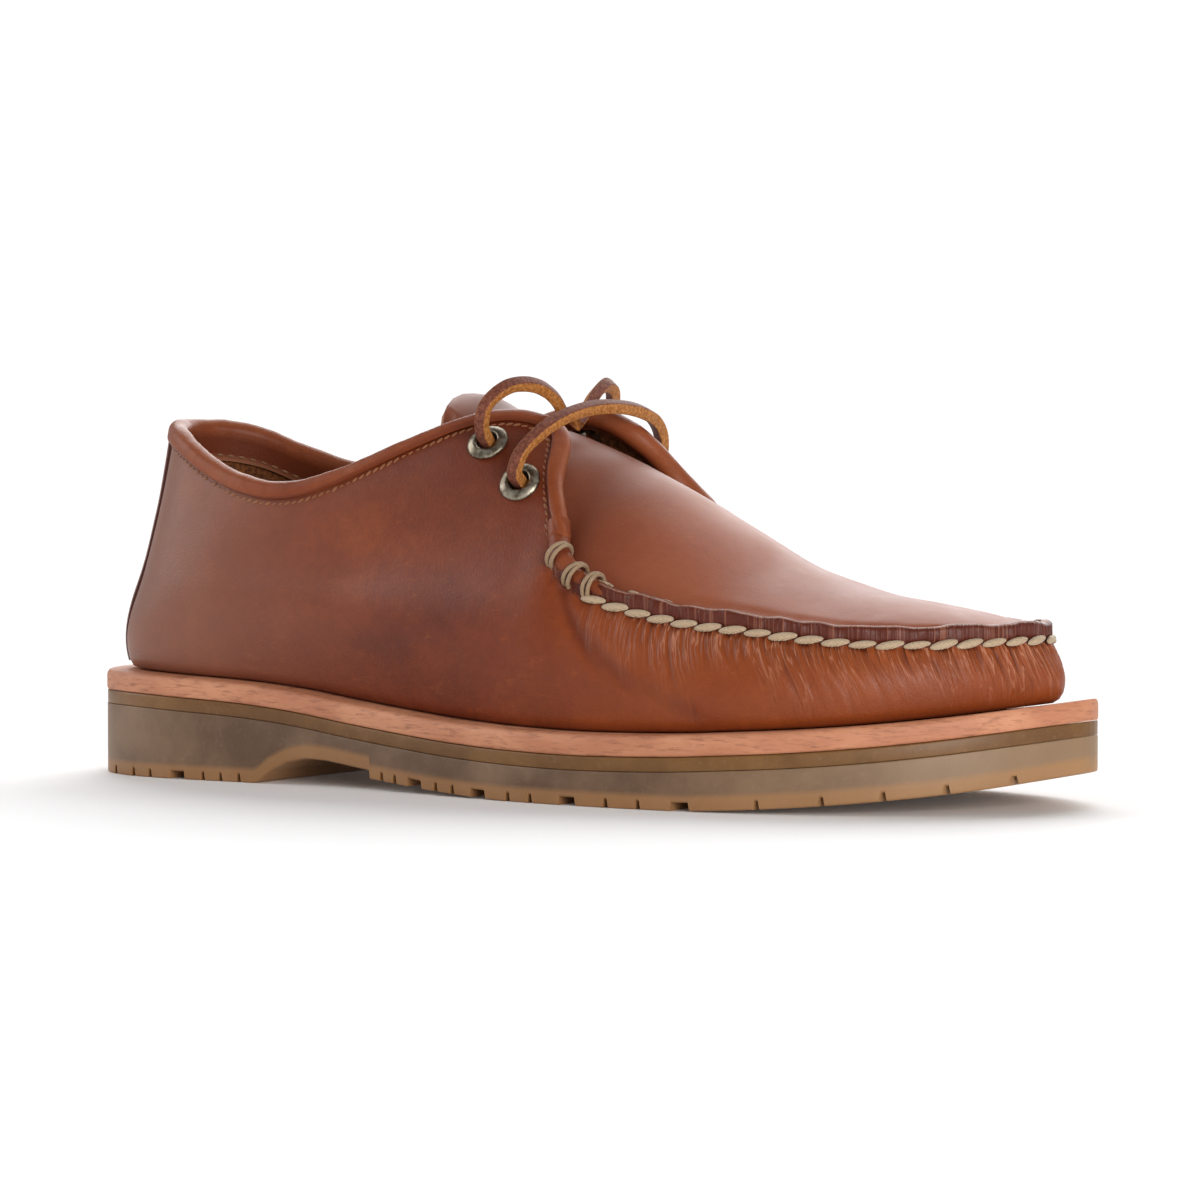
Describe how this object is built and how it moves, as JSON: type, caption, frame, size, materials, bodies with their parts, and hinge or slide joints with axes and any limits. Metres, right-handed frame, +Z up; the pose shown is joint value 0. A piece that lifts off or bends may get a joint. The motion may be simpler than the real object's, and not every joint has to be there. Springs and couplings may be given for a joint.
{
  "type": "oxford shoe",
  "caption": "Right low lace-up shoe: leather upper with a raised toe seam, bound collar, open eyelet flaps, leather midsole and a lugged rubber outsole.",
  "frame": {"origin": "middle of the bounding box, on the floor plane that the heel and ball rest on", "axes": "+X to the toe, -Y to the outer (lateral) side, +Z up"},
  "size_m": [0.2998, 0.1052, 0.1111],
  "materials": {
    "outsole": "matte",
    "rubber_midsole": "satin",
    "midsole": "natural edge",
    "insole": "matte",
    "upper": "waxed",
    "plug_and_tongue": "waxed",
    "back_strip": "waxed",
    "collar_binding": "waxed",
    "lace_bar": "rawhide",
    "lace_end_lateral": "rawhide",
    "lace_end_medial": "rawhide",
    "eyelet_lateral_1": "antique",
    "eyelet_lateral_2": "antique",
    "eyelet_medial_1": "antique",
    "eyelet_medial_2": "antique"
  },
  "bodies": {
    "root": {"outsole": "outsole", "rubber_midsole": "rubber_midsole", "midsole": "midsole", "insole": "insole", "upper": "upper", "plug_and_tongue": "plug_and_tongue", "back_strip": "back_strip", "collar_binding": "collar_binding", "lace_bar": "lace_bar", "lace_end_lateral": "lace_end_lateral", "lace_end_medial": "lace_end_medial", "eyelet_lateral_1": "eyelet_lateral_1", "eyelet_lateral_2": "eyelet_lateral_2", "eyelet_medial_1": "eyelet_medial_1", "eyelet_medial_2": "eyelet_medial_2"}
  },
  "joints": []
}
